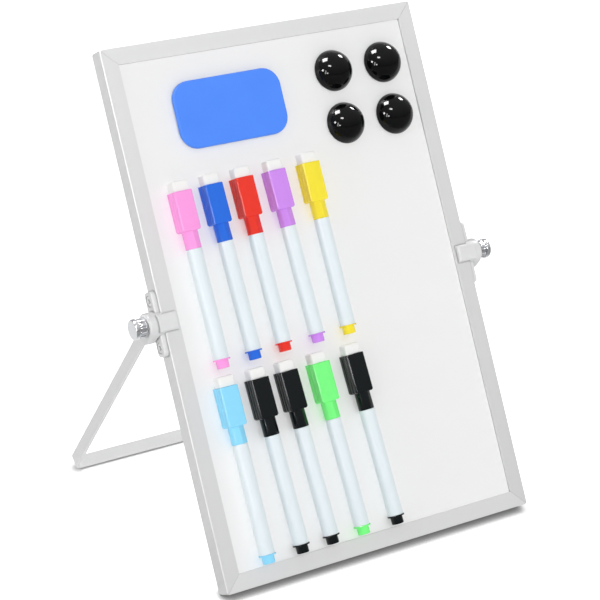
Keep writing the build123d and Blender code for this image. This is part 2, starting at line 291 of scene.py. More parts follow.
# %% [markdown]
# Nearly every finish is made of the same few things: soft noise or specks for a colour
# that is never quite even, a little shade painted in where pieces meet, and a fine
# relief.  Patterns use Object coordinates, measured in metres, so their scale is that of
# the real surface.

# %% Patterns and blends of a finish
def even(length):
    """The same length along all three axes."""
    return (length,) * 3


class Finish(ShaderTree):
    """A material whose nodes are added one call at a time."""

    def __init__(self, name):
        self.material = bpy.data.materials.new(name)
        super().__init__(self.material)

    def cells(self, lengths, turn=(0.0, 0.0, 0.0), centre=(0.0, 0.0, 0.0)):
        """Coordinates counted in cells of the given lengths, turned and centred."""
        place = self.node("TexCoord", output="Object")
        steps = {"Vector": place, "Location": centre, "Rotation": turn, "Scale": lengths}
        return self.node("Mapping", {"vector_type": "TEXTURE"}, steps)

    def noise(self, lengths, turn=(0.0, 0.0, 0.0), detail=2.0):
        """Soft noise from 0 to 1 whose waves are about as long as the given lengths."""
        steps = {"Vector": self.cells(lengths, turn), "Scale": 1.0, "Detail": detail}
        return self.node("TexNoise", None, steps)

    def specks(self, length):
        """Distance from the nearest of many points strewn about one length apart."""
        steps = {"Vector": self.cells(even(length)), "Scale": 1.0}
        return self.node("TexVoronoi", None, steps)

    def crevice(self, width):
        """Mask for painted shade: 1 where a surface is open, towards 0 in seams and corners
        about as wide as given.
        """
        return self.node("AmbientOcclusion", {"samples": 8}, {"Distance": width}, "AO")

    def mix(self, share, first, second):
        """A colour that goes from first to second as the share goes from 0 to 1."""
        steps = {0: share, 6: first, 7: second}
        return self.node("Mix", {"data_type": "RGBA"}, steps, output=2)

    def painted_shade(self, coat, shade, width, power=1.0):
        """A coat's colour with shade painted in: it goes to the shade colour in seams about as
        wide as given.
        """
        return self.mix(self.crevice(width) ** power, colour(shade), coat)

    def bump(self, height, microns):
        """Small relief as deep as the given thousandths of a millimetre."""
        steps = {"Height": height, "Distance": microns * 1e-6, "Strength": 1.0}
        return self.node("Bump", None, steps)

    def surface(self, base, roughness, normal, **fixed):
        """The principled shader with the varying sockets and the uniform ones."""
        steps = {"Base Color": base, "Roughness": roughness, "Normal": normal}
        steps.update({key.replace("_", " "): value for key, value in fixed.items()})
        shader = self.node("BsdfPrincipled", None, steps)
        self.node("OutputMaterial", None, {"Surface": shader})
        return self.material


finishes = {}                        # solid's name: its finish

# %% [markdown]
# The frame is drawn aluminium with a satin silver anodising.  Drawing leaves hair-fine
# streaks along each rail, so the noise is stretched along the rail's own length: across
# the board for the level rails and up the board for the upright ones.  The anodised film
# scatters light much as paint does, so the shader is only a little metallic.  Light is
# painted in as a colour that pales towards the top, and shade is painted into the mitres
# and the edges beside the sheets.

# %% Satin aluminium
easel_height = 0.27                  # metres over which the colour is painted paler towards the top
streak_length = 0.12
streak_width = 0.0005


def satin_aluminium(name, streak, low):
    """Anodised metal with streaks of the given lengths, painted darker to the low colour at the
    foot.
    """
    finish = Finish(name)
    streaks = finish.noise(streak, board_turn, detail=3.0)
    clouds = finish.noise(even(0.05))
    place = finish.cells((1.0, 1.0, easel_height))
    height = finish.node("SeparateXYZ", None, {0: place}, "Z")
    # Painted light: the colour pales from the low colour at the foot towards the top.
    clouds_and_painted_top_light = finish.mix(0.85 * height + 0.15 * clouds, colour(low), colour("DFDFDF"))
    # Painted shade: the colour goes to grey in mitres and seams.
    base = finish.painted_shade(clouds_and_painted_top_light, "848484", width=0.0012, power=1.4)
    return finish.surface(base, 0.40 + 0.12 * streaks, finish.bump(streaks, 10),
                          Metallic=0.2, Specular_IOR_Level=0.3)


level_streak = (streak_length, streak_width, streak_width)
level_metal = satin_aluminium("satin_aluminium_level", level_streak, "DCDCDC")
upright_metal = satin_aluminium("satin_aluminium_upright", level_streak[::-1], "D4D4D4")
finishes.update(dict.fromkeys(["top_rail", "bottom_rail"], level_metal))
finishes.update(dict.fromkeys(["left_rail", "right_rail"], upright_metal))
print("rails finished")

# %% [markdown]
# The writing sheets are thin steel with a glossy white lacquer, rolled on and baked.  A
# roller leaves a faint orange-peel relief a millimetre or two across, and months of wiping
# leave soft patches that shine a little less.  Both are too weak to see from the front
# and show only where light glances off the sheet.

# %% White lacquer
def white_lacquer():
    finish = Finish("white_lacquer")
    peel = finish.noise(even(0.0012), detail=1.0)
    wiped = finish.noise((0.06, 0.03, 0.02), board_turn, detail=3.0)
    base = finish.mix(wiped, colour("EEEEEE"), colour("ECECEC"))
    return finish.surface(base, 0.34 + 0.05 * wiped, finish.bump(peel, 3),
                          Specular_IOR_Level=0.2)


finishes.update(dict.fromkeys(["front_sheet", "back_sheet"], white_lacquer()))
print("sheets finished")

# %% [markdown]
# The stand is a flat steel strip with a satin powder coat.  Powder melts into low bumps
# under a millimetre wide, with a second, finer grain on top.

# %% Powder coat
def powder_coat():
    finish = Finish("powder_coat")
    melt = finish.noise(even(0.0008), detail=2.0)
    fine = finish.noise(even(0.0002), detail=1.0)
    clouds = finish.noise(even(0.04))
    coat = finish.mix(clouds, colour("E2E2E2"), colour("DEDEDF"))
    # Painted shade: the coat goes to grey in seams and corners.
    base = finish.painted_shade(coat, "8E8E8F", width=0.0010)
    relief = finish.bump(0.7 * melt + 0.3 * fine, 20)
    return finish.surface(base, 0.42 + 0.1 * melt, relief, Specular_IOR_Level=0.3)


finishes["stand_strip"] = powder_coat()
print("stand finished")

# %% [markdown]
# Hubs and brackets are injection moulded in a pale grey plastic.  The mould was spark
# eroded, which leaves an even, fine grain, and the melt flows in, which leaves very faint
# clouds in the colour.  Shade round the screws and where a saddle meets its rail is
# painted into the colour.

# %% Moulded plastic
def moulded_plastic():
    finish = Finish("moulded_plastic")
    grain = finish.noise(even(0.00025), detail=1.0)
    clouds = finish.noise((0.012, 0.006, 0.012), detail=3.0)
    plastic = finish.mix(clouds, colour("E0E0E0"), colour("DADADB"))
    # Painted shade round the screws and where a saddle meets its rail.
    base = finish.painted_shade(plastic, "747474", width=0.0012, power=1.6)
    return finish.surface(base, 0.30 + 0.10 * grain, finish.bump(grain, 10),
                          Specular_IOR_Level=0.35)


grey_mouldings = ["left_bracket", "right_bracket", "left_hub", "right_hub"]
finishes.update(dict.fromkeys(grey_mouldings, moulded_plastic()))
print("mouldings finished")

# %% [markdown]
# Metal fittings: chromed thumb-screws, zinc plated screws and brass inserts.  Chrome is a
# near mirror, so finger marks in its roughness and a slight ripple are all its detail.
# Zinc is duller and spangled, and shade is painted dark into a screw's cross recess and round
# its rim.
# Turned brass keeps rings round its axis.

# %% Plated and turned metals
def chrome_plate():
    finish = Finish("chrome_plate")
    smudges = finish.noise((0.004, 0.003, 0.003), detail=4.0)
    ripple = finish.noise(even(0.0015))
    base = finish.mix(smudges, colour("E8E9EB"), colour("E0E1E4"))
    return finish.surface(base, 0.04 + 0.12 * smudges ** 2.0, finish.bump(ripple, 6),
                          Metallic=1.0)


def zinc_plate():
    finish = Finish("zinc_plate")
    spangle = finish.specks(0.0005)
    plate = finish.mix(spangle, colour("E4E4E5"), colour("D8D8D8"))
    # Painted shade: near black in the cross recess and round the rim.
    base = finish.painted_shade(plate, "1A1A1C", width=0.0006, power=2.5)
    return finish.surface(base, 0.30 + 0.15 * spangle, finish.bump(spangle, 6),
                          Metallic=0.4)


def turned_brass():
    finish = Finish("turned_brass")
    rings = finish.noise((0.0002, 0.02, 0.02))
    base = finish.mix(rings, colour("D9B25F"), colour("B98F40"))
    return finish.surface(base, 0.25 + 0.2 * rings, finish.bump(rings, 20), Metallic=1.0)


finishes["bracket_screws"] = zinc_plate()
finishes["threaded_inserts"] = turned_brass()
print("fittings finished")

# %% [markdown]
# Inside pieces are seen when the easel is opened up, so they are finished too: a board
# core with long fibres, black nylon corner keys, the magnetic rubber under the eraser with
# its fine stripes, and the pressed ferrite discs in the dome magnets.

# %% Inner pieces
def fibre_board():
    finish = Finish("fibre_board")
    fibres = finish.noise((0.0003, 0.0003, 0.004), board_turn, detail=4.0)
    base = finish.mix(fibres, colour("B59A78"), colour("8E7557"))
    return finish.surface(base, 0.8 + 0.15 * fibres, finish.bump(fibres, 80))


def black_nylon():
    finish = Finish("black_nylon")
    grain = finish.noise(even(0.0004))
    base = finish.mix(grain, colour("202022"), colour("2A2A2C"))
    return finish.surface(base, 0.45 + 0.15 * grain, finish.bump(grain, 20))


def magnetic_rubber():
    finish = Finish("magnetic_rubber")
    stripes = finish.noise((0.0006, 0.05, 0.05), board_turn)
    base = finish.mix(stripes, colour("1B1A1A"), colour("2C2A29"))
    return finish.surface(base, 0.7 + 0.15 * stripes, finish.bump(stripes, 30))


def pressed_ferrite():
    finish = Finish("pressed_ferrite")
    grains = finish.specks(0.0003)
    base = finish.mix(grains, colour("3C3B3B"), colour("525150"))
    return finish.surface(base, 0.55 + 0.2 * grains, finish.bump(grains, 30),
                          Metallic=0.4)


magnet_numbers = (1, 2, 3, 4)
finishes["core_board"] = fibre_board()
finishes["corner_keys"] = black_nylon()
finishes["eraser_magnet"] = magnetic_rubber()
disc_names = [f"magnet_disc_{number}" for number in magnet_numbers]
finishes.update(dict.fromkeys(disc_names, pressed_ferrite()))
print("inner pieces finished")

# %% [markdown]
# A solid keeps its mesh, so only its material slot is filled here.

# %% Put the finishes on the solids
for name, material in finishes.items():
    slots = nodes[name].data.materials
    slots.clear()
    slots.append(material)
print(len(finishes), "solids have a finish")

# %% [markdown]
# The dome magnets are glossy black caps over a ferrite disc.  The cap is a part of a
# sphere that stands on a short straight rim, which steps in to a narrower foot.  The foot
# leaves the thin dark gap under the rim that a fingernail lifts.


# %% Dome magnets
rim_height = 0.0014                  # where the straight rim ends
foot_height = 0.0005
foot_inset = 0.0008
dome_soft = (0.1 * mm, 0.05 * mm, 0.25 * mm)      # at the foot, the step and the rim
dome_columns = 96
dome_steps = 28


def gloss_black():
    finish = Finish("gloss_black")
    haze = finish.noise(even(0.006), detail=4.0)
    dust = finish.specks(0.0012)
    ripple = finish.noise(even(0.003))
    base = finish.mix(haze, colour("060607"), colour("0B0C0D"))
    return finish.surface(base, 0.03 + 0.04 * haze + 0.02 * dust, finish.bump(ripple, 6),
                          Specular_IOR_Level=0.2)


def dome_profile(radius, height):
    """Radius against height: foot, step, rim, then the sphere through the rim and the top.

    The sphere's radius is (r * r + c * c) / (2 * c) for a crown of height c.
    """
    crown = height - rim_height
    sphere = (radius**2 + crown**2) / (2 * crown)
    start = math.asin((rim_height - height + sphere) / sphere)
    angle = np.linspace(start, math.pi / 2 - tiny / sphere, dome_steps)
    arc = np.stack([np.cos(angle), np.sin(angle)], -1) * sphere + [0, height - sphere]
    inner = radius - foot_inset
    base = rounded([(tiny, 0), (inner, 0), (inner, foot_height), (radius, foot_height),
                    (radius, rim_height)], dome_soft)
    return np.concatenate([base, arc[1:]])


black_gloss = gloss_black()
for number in magnet_numbers:
    solid = f"dome_magnet_{number}"
    found = corners(solid)
    radius = np.ptp(found @ right) / 2
    profile = dome_profile(radius, np.ptp(found @ out))
    points, faces = skin(turned(profile, dome_columns))
    points = seat(points, foot(found), right, up, out)
    piece = add_piece(f"dome_cap_{number}", points, faces, black_gloss)
    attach(piece, f"magnet_{number}")
    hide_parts(solid)
print("dome magnets", round(radius * 2000, 1), "mm across")

# %% [markdown]
# The eraser is a flat pad of dense blue foam on a magnetic sheet.  A pressed foam pad has
# a crown so low that it only shows as a softer edge, and a skin with very fine pores.  Its
# outline is four corner arcs joined by straight sides, carried through its thickness and
# drawn in a little over the last millimetre.

# %% Eraser pad
eraser_corner = 0.0105
pad_soft = 0.0009                    # radius of the pad's upper edge
pad_crown = 0.00015                  # how much its middle stands above that edge
pad_foot = 0.0002                    # bevel of its lower edge
least_corner = 0.0004                # the outline's corners stay at least as round as this
edge_steps, crown_steps = 8, 12


def blue_foam():
    finish = Finish("blue_foam")
    pores = finish.specks(0.00035)
    nap = finish.noise(even(0.0009), detail=3.0)
    clouds = finish.noise(even(0.02))
    foam = finish.mix(clouds, colour("518EFB"), colour("4886F5"))
    # Painted shade: the foam goes darker in seams and where the pad meets the sheet.
    base = finish.painted_shade(foam, "35507E", width=0.0015, power=2.0)
    relief = finish.bump(0.5 * pores + 0.5 * nap, 40)
    return finish.surface(base, 0.62 + 0.15 * nap, relief, Specular_IOR_Level=0.25,
                          Sheen_Weight=0.15, Sheen_Roughness=0.4)


def pad_rings(width, height, thickness):
    """Rounded rectangles: upright side, quarter-round edge, then a crown to the middle.

    Along the edge the inset is radius * (1 - cosine) and the rise radius * sine.  Over the
    crown the inset grows evenly and the rise follows a sine.
    """
    turn = np.linspace(0, math.pi / 2, edge_steps)[1:]
    share = np.linspace(0, 1, crown_steps)[1:]
    side = thickness - pad_crown - pad_soft
    crown_reach = min(width, height) / 2 - eraser_corner / 2 - pad_soft
    inset = np.concatenate([[pad_foot, 0, 0], pad_soft * (1 - np.cos(turn)),
                            pad_soft + share * crown_reach])
    rise = np.concatenate([[0, pad_foot, side], side + pad_soft * np.sin(turn),
                           thickness - pad_crown * (1 - np.sin(share * math.pi / 2))])
    radius = np.maximum(eraser_corner - inset, least_corner)
    flat = box_outline(width / 2 - inset, height / 2 - inset, radius,
                       corner_steps=9, side_steps=6)
    return with_height(flat, rise)


found = corners("eraser_foam")
size = [np.ptp(found @ direction) for direction in (right, up, out)]
points, faces = skin(pad_rings(*size))
points = seat(points, foot(found), right, up, out)
eraser = add_piece("eraser_pad", points, faces, blue_foam())
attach(eraser, "eraser")
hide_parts("eraser_foam")
print("eraser pad", [round(1000 * length, 1) for length in size], "mm")

# %% [markdown]
# Thumb-screws are turned from brass and chromed.  Next to the hub is a drum whose edge has
# twelve scalloped notches for the fingers, then a narrow groove and a smooth end disc.
# The same lathe profile serves for all of it, with the notches cut as a dip in radius that
# only the drum's own stations have.

# %% Profile and notches of a thumb-screw
shank_radius = 0.0020
drum_radius = 0.0054
waist_radius = 0.0042                # of the groove between the drum and the end disc
disc_radius = 0.0058
drum_end, waist_end, disc_end = 0.0042, 0.0052, 0.0078     # from the shank's end
knob_soft = [0.2, 0.1, 0.6, 0.6, 0.1, 0.1, 0.5, 0.7]       # corners' radii in millimetres
knob_notches = 12
notch_radius = 0.00075
knob_columns = knob_notches * 14


def notch_dip():
    """Depth of round notches: square root of (notch^2 - (drum * angle)^2), else zero.

    Notch and drum stand for their radii, and the angle is measured from the nearest
    notch's middle.
    """
    pitch = 2 * math.pi / knob_notches
    angle = np.arange(knob_columns) * 2 * np.pi / knob_columns
    nearest = (angle + pitch / 2) % pitch - pitch / 2
    return np.sqrt(np.maximum(notch_radius**2 - (drum_radius * nearest) ** 2, 0))


print("notches", round(2000 * notch_radius, 2), "mm wide")

# %% [markdown]
# The shank is as long as the construction's screw leaves it under the head.  Each screw is
# turned about the axle and points outwards from its side of the board.

# %% Thumb-screws
hair = 1e-6                          # allowance that counts the drum's ends as the drum


def knob_rings(start):
    """Shank, notched drum, groove and end disc turned about the axle, rings outwards.

    The drum starts where the shank ends.  Each of its rings has the profile's radius, less
    its own share of the notches' dip.
    """
    marks = [
        (tiny, 0), (shank_radius, 0), (shank_radius, start), (drum_radius, start),
        (drum_radius, start + drum_end), (waist_radius, start + drum_end),
        (waist_radius, start + waist_end), (disc_radius, start + waist_end),
        (disc_radius, start + disc_end), (tiny, start + disc_end),
    ]
    profile = rounded(marks, np.array(knob_soft) * mm)
    rings = turned(profile, knob_columns)
    radius, height = profile[:, :1], profile[:, 1:]
    on_drum = (height > start - hair) & (height < start + drum_end + hair)
    share = np.clip((radius - waist_radius) / (drum_radius - waist_radius), 0, 1) * on_drum
    scale = 1 - share * notch_dip() / np.maximum(radius, waist_radius)
    rings[..., :2] *= scale[..., None]
    return rings


chrome = chrome_plate()
world_up = np.array([0.0, 0.0, 1.0])
for side, outwards in (("left", -right), ("right", right)):
    solid = f"{side}_thumb_screw"
    low, high = reach(corners(solid), outwards)
    points, faces = skin(knob_rings(high - low - disc_end))
    centre = pivot * [0, 1, 1] + low * outwards
    points = seat(points, centre, world_up, np.cross(world_up, outwards), outwards)
    piece = add_piece(f"{side}_knob", points, faces, chrome)
    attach(piece, f"{side}_knob")
    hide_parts(solid)
print("thumb-screws", round(1000 * (high - low), 1), "mm long")

# %% [markdown]
# A marker lies along the sheet at its own slight tilt.  Its direction is that of its
# barrel's greatest length, found from the spread of the solid's corners, pointing from the
# end plug to the cap.  With the directions across it and out from the sheet, that gives
# all pieces of a marker one set of axes, so each can be drawn upright and only once.

# %% Axes of a marker
cap_codes = {"pink": "FFA1E5", "blue": "2B6FE2", "red": "EE3A2C", "purple": "D190F2",
             "yellow": "FAE63E", "light_blue": "92DEFF", "black": "0E1315", "green": "7EFF88"}
upper_row = ["pink", "blue", "red", "purple", "yellow"]
lower_row = ["light_blue", "black_1", "black_2", "green", "black_3"]
shades = {name: name.rstrip("_123") for name in upper_row + lower_row}


def marker_axes(name):
    """Start point at the plug's end on the axis, then directions across, out and along.

    The direction along is the first singular vector of the barrel's corners.
    """
    barrel = corners(f"{name}_marker_barrel")
    along = np.linalg.svd(barrel - barrel.mean(0), full_matrices=False)[2][0]
    along -= (along @ out) * out
    along /= np.linalg.norm(along)
    if (corners(f"{name}_marker_cap").mean(0) - barrel.mean(0)) @ along < 0:
        along *= -1
    across = np.cross(out, along)
    plug = corners(f"{name}_marker_plug")
    start = middle(barrel, across) * across + middle(barrel, out) * out
    return start + reach(plug, along)[0] * along, across, out, along


axes = {name: marker_axes(name) for name in shades}
pink_tilt = math.degrees(math.asin(axes["pink"][3][0]))
print(len(axes), "markers, the first tilts", round(pink_tilt, 2), "degrees")

# %% [markdown]
# The marker plastics are glossy polystyrene and polypropylene.  Their gloss comes from a
# polished mould, with a very slight ripple where the plastic shrank, and handling leaves a
# haze.  The barrel is a paler, softer plastic than the caps and plugs, and a little sheen
# stands for the light that goes in and comes out beside its edges.

# %% Marker plastics
haze_depth = 0.93                    # how bright a cap's colour is under the full haze


def glossy_plastic(name, code):
    finish = Finish(name)
    haze = finish.noise(even(0.004), detail=4.0)
    ripple = finish.noise(even(0.0025), detail=1.0)
    light = colour(code)
    deep = (*[channel * haze_depth for channel in light[:3]], 1.0)
    return finish.surface(finish.mix(haze, light, deep), 0.10 + 0.06 * haze,
                          finish.bump(ripple, 8), Specular_IOR_Level=0.25)


def barrel_plastic():
    finish = Finish("barrel_plastic")
    haze = finish.noise(even(0.006), detail=3.0)
    grain = finish.noise(even(0.0003))
    base = finish.mix(haze, colour("E4EDF1"), colour("DEE8EC"))
    return finish.surface(base, 0.26 + 0.08 * haze, finish.bump(grain, 4),
                          Specular_IOR_Level=0.25, Sheen_Weight=0.5, Sheen_Roughness=0.4)


def wool_felt(name, light, dark):
    finish = Finish(name)
    fibres = finish.noise((0.0002, 0.0009, 0.0005), detail=5.0)
    tufts = finish.noise(even(0.0014), detail=3.0)
    base = finish.mix(fibres, colour(light), colour(dark))
    relief = finish.bump(0.6 * fibres + 0.4 * tufts, 120)
    return finish.surface(base, 0.86 + 0.1 * fibres, relief, Specular_IOR_Level=0.05,
                          Sheen_Weight=0.5, Sheen_Roughness=0.6)


plastics = {shade: glossy_plastic(f"plastic_{shade}", code)
            for shade, code in cap_codes.items()}
barrel_white = barrel_plastic()
cap_felt = wool_felt("white_felt", "F5F5F3", "ECECEA")
nib_felt = wool_felt("nib_felt", "D8D8D4", "B8B8B2")
print(len(plastics), "cap colours")

# %% [markdown]
# The end plug is pushed into the barrel's lower end: a small drum to grip, a thin flange
# that stops it and a stub inside the barrel.  The barrel has a socket for that stub at one
# end and a stepped neck, nose and felt nib at the other, which the cap covers.  All are
# lathe surfaces, each closed inside as well as outside.

# %% Plugs, barrels and nibs
marker_columns = 64
arc_steps = 5
# Each profile's corners as radius and height, then the radii that soften the inner ones,
# all in millimetres from the plug's end.
plug_marks = [(tiny, 0), (3.5, 0), (3.5, 4.3), (4.9, 4.3), (4.9, 5.1), (3.2, 5.1),
              (3.2, 9.1), (tiny, 9.1)]
plug_soft = [0.4, 0.12, 0.2, 0.2, 0.05, 0.3]
barrel_marks = [(tiny, 9.15), (3.25, 9.15), (3.25, 5.15), (4.45, 5.15), (4.45, 67.25),
                (3.3, 67.25), (3.3, 78.25), (1.2, 83.25), (tiny, 83.25)]
barrel_soft = [0.1, 0.1, 0.25, 0.3, 0.1, 0.4, 0.1]
nib_marks = [(tiny, 83.25), (1.0, 83.25), (1.0, 86.25), (tiny, 86.25)]
nib_soft = [0.05, 0.6]


def lathe(marks, soft):
    """Closed skin of a profile in millimetres whose inner corners are softened."""
    profile = rounded(np.array(marks) * mm, np.array(soft) * mm, arc_steps)
    return skin(turned(profile, marker_columns))


lathed = {
    "plug": lathe(plug_marks, plug_soft),
    "barrel": lathe(barrel_marks, barrel_soft),
    "nib": lathe(nib_marks, nib_soft),
}
for name, shade in shades.items():
    coats = {"plug": plastics[shade], "barrel": barrel_white, "nib": nib_felt}
    for part, (points, faces) in lathed.items():
        placed = seat(points, *axes[name])
        piece = add_piece(f"{name}_{part}", placed, faces, coats[part])
        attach(piece, f"{name}_marker")
        if part != "nib":
            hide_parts(f"{name}_marker_{part}")
        f"marker_{shade}" if part == "plug" else "marker_barrel"
print(3 * len(shades), "plugs, barrels and nibs")

# %% [markdown]
# A cap's block has a flat magnetic back that lies on the sheet.  Across it the outline is
# that of the moulding: square at the back, two shallow grip grooves along each side, and a
# narrow chamfer beside the front that catches a line of light.  Only the right half is
# drawn, and its mirror image closes the outline.

# %% Outline of a cap's block
cap_width = 11.2                     # these and all lengths of the cap are millimetres
cap_depth = 9.4
cap_back = 5.2                       # from the marker's axis to the sheet
cap_front = cap_depth - cap_back
cap_chamfer = 0.5
groove_levels = (-2.1, 0.7)          # the grooves' middles, forwards from the axis
groove_depth = 0.35
groove_width = 0.9
groove_lip = 0.12                    # a groove's front wall leans forwards by this
groove_soft = [0.1, 0.07, 0.07, 0.1]


def cap_outline():
    """Closed outline across the block: back, right side with its grooves, front, left side."""
    half = cap_width / 2
    bottom = half - groove_depth
    side = []
    for level in groove_levels:
        low, high = level - groove_width / 2, level + groove_width / 2
        side += [(half, low), (bottom, low + groove_depth), (bottom, high - groove_lip),
                 (half, high)]
    right_side = [(0, -cap_back), (half, -cap_back), *side, (half, cap_front - cap_chamfer),
                  (half - cap_chamfer, cap_front), (0, cap_front)]
    soft = [0.3, *groove_soft, *groove_soft, 0.12, 0.12]
    curve = rounded(right_side, soft, steps=4)
    mirrored = curve[::-1][1:-1] * [-1, 1]
    return np.concatenate([curve, mirrored])


outline = cap_outline()
print("a block's outline has", len(outline), "points")

# %% [markdown]
# A round skirt leads down from the block to the barrel, and a bore inside takes the
# barrel's neck.  The skirt is round at its mouth and a little flattened in front where it
# runs into the block.  Its circles have as many points as the block's outline, at the same
# angles about the axis, so that one can be skinned to the other.

# %% Bore and skirt of a cap
skirt_start = 67.3
block_start = 77.3
bore_end = 91.7
skirt_radius = 4.5
bore_radius = 3.4
skirt_flat = 0.9                     # depth in front where it meets the block, of its radius


def tube_rings(angle):
    """Rings of the bore and the skirt: radius times a circle that flattens upwards.

    The front half's depth goes from 1 to the flat share along the outside of the skirt.
    """
    tube = rounded([(tiny, bore_end), (bore_radius, bore_end), (bore_radius, skirt_start),
                    (skirt_radius, skirt_start), (skirt_radius, block_start)],
                   [0.3, 0.15, 0.3], arc_steps)
    radius, height = tube[:, :1], tube[:, 1]
    circle = np.stack([np.cos(angle), np.sin(angle)], -1)
    in_front = angle % (2 * np.pi) < np.pi
    flattened = circle.copy()
    flattened[in_front, 1] *= skirt_flat
    share = np.clip((height - skirt_start) / (block_start - skirt_start), 0, 1)
    share = np.where(tube[:, 0] > bore_radius, share, 0)[:, None, None]
    shape = circle * (1 - share) + flattened * share
    return with_height(radius[:, None] * shape, height)


outline_angle = np.sort(np.unwrap(np.arctan2(outline[:, 1], outline[:, 0])))
tube = tube_rings(outline_angle)
print("bore and skirt have", len(tube), "rings")

# %% [markdown]
# The block's ends are bevelled by two profiles along the cap, one for its sides and one
# for its front, whose insets narrow the outline.  One skin then makes the whole cap: down
# the inside of the bore, round the skirt's mouth, up the skirt, out to the block's outline
# and over its top.

# %% Marker caps
block_end = 99.7
side_bevel = 0.8                     # of the sides at the block's lower end
front_bevel = 0.2                    # of its front there
top_bevel = 0.3                      # of its front at the upper end
low_run = 0.1                        # the first ring's inset beyond the bevels
side_run, front_run = 0.6, 0.8       # the last ring's insets on the flat top


def block_rings(outline):
    """Rings up the block: the outline with its width and its depth scaled at each station.

    The width is scaled for the side's inset and the depth, from the back, for the front's.
    """
    length = block_end - block_start
    side = rounded([(side_bevel + low_run, 0), (side_bevel, 0), (0, side_bevel),
                    (0, length), (side_run, length)], [0.04, 0.15, 0.15], arc_steps)
    front = rounded([(front_bevel + low_run, 0), (front_bevel, 0), (0, front_bevel),
                     (0, length - top_bevel), (top_bevel, length), (front_run, length)],
                    [0.04, 0.08, 0.12, 0.12], arc_steps)
    along = np.unique(np.round(np.concatenate([side[:, 1], front[:, 1]]), 3))
    inset_side = np.interp(along, side[:, 1], side[:, 0])
    inset_front = np.interp(along, front[:, 1], front[:, 0])
    across = outline[:, 0] * (1 - inset_side / (cap_width / 2))[:, None]
    depth = (outline[:, 1] + cap_back) * (1 - inset_front / cap_depth)[:, None] - cap_back
    return with_height(np.stack([across, depth], -1), along + block_start)


points, faces = skin(np.concatenate([tube, block_rings(outline)]) * mm)
for name, shade in shades.items():
    placed = seat(points, *axes[name])
    piece = add_piece(f"{name}_cap", placed, faces, plastics[shade])
    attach(piece, f"{name}_marker")
    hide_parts(f"{name}_marker_cap")
print("caps of", len(points), "points each")

# %% [markdown]
# A small block of white felt is glued on each cap's end for wiping out a single letter.
# Felt has no crisp edge anywhere, so its rounded block keeps generous radii and its sides
# swell slightly between the ends.

# %% Felt pads
felt_width, felt_depth, felt_length = 9.8, 7.4, 6.0
felt_corner = 1.2
felt_least_corner = 0.3
felt_foot = 0.4                      # roundness of the glued end
felt_soft = 1.0                      # roundness of the free end
felt_swell = 0.12
felt_gap = 0.05                      # glue between the cap and the felt
felt_end_steps, felt_side_steps = 7, 8


def felt_rings():
    """Rounded rectangles whose inset is a quarter round at each end less a sine swell."""
    turn = np.linspace(0, math.pi / 2, felt_end_steps)
    low_inset, low_rise = felt_foot * (1 - np.sin(turn)), felt_foot * (1 - np.cos(turn))
    high_inset = felt_soft * (1 - np.cos(turn))
    high_rise = felt_length - felt_soft + felt_soft * np.sin(turn)
    middle_rise = np.linspace(felt_foot, felt_length - felt_soft, felt_side_steps)[1:-1]
    inset = np.concatenate([low_inset, 0 * middle_rise, high_inset])
    rise = np.concatenate([low_rise, middle_rise, high_rise])
    inset = inset + felt_swell * (1 - np.sin(rise / felt_length * math.pi))
    radius = np.maximum(felt_corner - inset / 2, felt_least_corner)
    flat = box_outline(felt_width / 2 - inset, felt_depth / 2 - inset, radius,
                       corner_steps=6, side_steps=4)
    return with_height(flat, rise)


felt_place = [0, (cap_front - cap_back) / 2, block_end + felt_gap]
points, faces = skin((felt_rings() + felt_place) * mm)
for name in shades:
    piece = add_piece(f"{name}_felt", seat(points, *axes[name]), faces, cap_felt)
    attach(piece, f"{name}_marker")
print(len(shades), "felt pads")

# %% [markdown]
# The easel stands on a wide pale floor.  Seen directly, the floor adds a little light of
# its own, which takes its open part to white, and a contact shadow is painted grey on it
# in the few millimetres where something stands on it.  Gloss sees the same floor darker:
# grey in front of the easel, so that the rails keep their shape, and going paler behind it.

# %% Floor
floor_radius = 12.0
floor_sides = 64
floor_glow = 0.60                    # takes the open floor to white
contact_shadow_width = 0.006
pale_from = -0.12                    # place in depth where gloss sees it begin to pale
pale_over = 0.12                     # and the length over which it does
gloss_share = 0.2                    # of the glow that gloss sees behind


def pale_floor():
    """Mix of what the camera, gloss and scattered light each see of the floor."""
    finish = Finish("pale_floor")
    base = finish.mix(finish.noise(even(0.3)), colour("F6F6F6"), colour("F4F4F4"))
    diffuse = finish.node("BsdfDiffuse", None, {"Color": base})
    glow = finish.node("Emission", None, {"Color": colour("FFFFFF"), "Strength": floor_glow})
    lit = finish.node("AddShader", None, {0: diffuse, 1: glow})
    # Painted contact shadow: a grey surface takes the lit floor's place where something stands
    # close.
    painted_contact_shadow = finish.node("BsdfDiffuse", None, {"Color": colour("6E6E6E")})
    open_share = finish.crevice(contact_shadow_width) ** 1.8
    seen = finish.node("MixShader", None, {0: open_share, 1: painted_contact_shadow, 2: lit})
    place = finish.cells(even(pale_over), centre=(0.0, pale_from, 0.0))
    forth = finish.node("SeparateXYZ", None, {0: place}, "Y")
    clamped = {"operation": "MULTIPLY", "use_clamp": True}
    behind = finish.node("Math", clamped, {0: forth, 1: 1.0})
    murk = finish.node("BsdfDiffuse", None, {"Color": colour("A8A8A8")})
    paler = finish.node("MixShader", None, {0: gloss_share, 1: diffuse, 2: lit})
    mirrored = finish.node("MixShader", None, {0: behind, 1: murk, 2: paler})
    camera, through, glossy = [finish.node("LightPath", None, None, f"Is {kind} Ray")
                               for kind in ("Camera", "Transmission", "Glossy")]
    bounced = finish.node("MixShader", None, {0: glossy, 1: diffuse, 2: mirrored})
    shown = finish.node("MixShader", None, {0: camera + through, 1: bounced, 2: seen})
    finish.node("OutputMaterial", None, {"Surface": shown})
    return finish.material


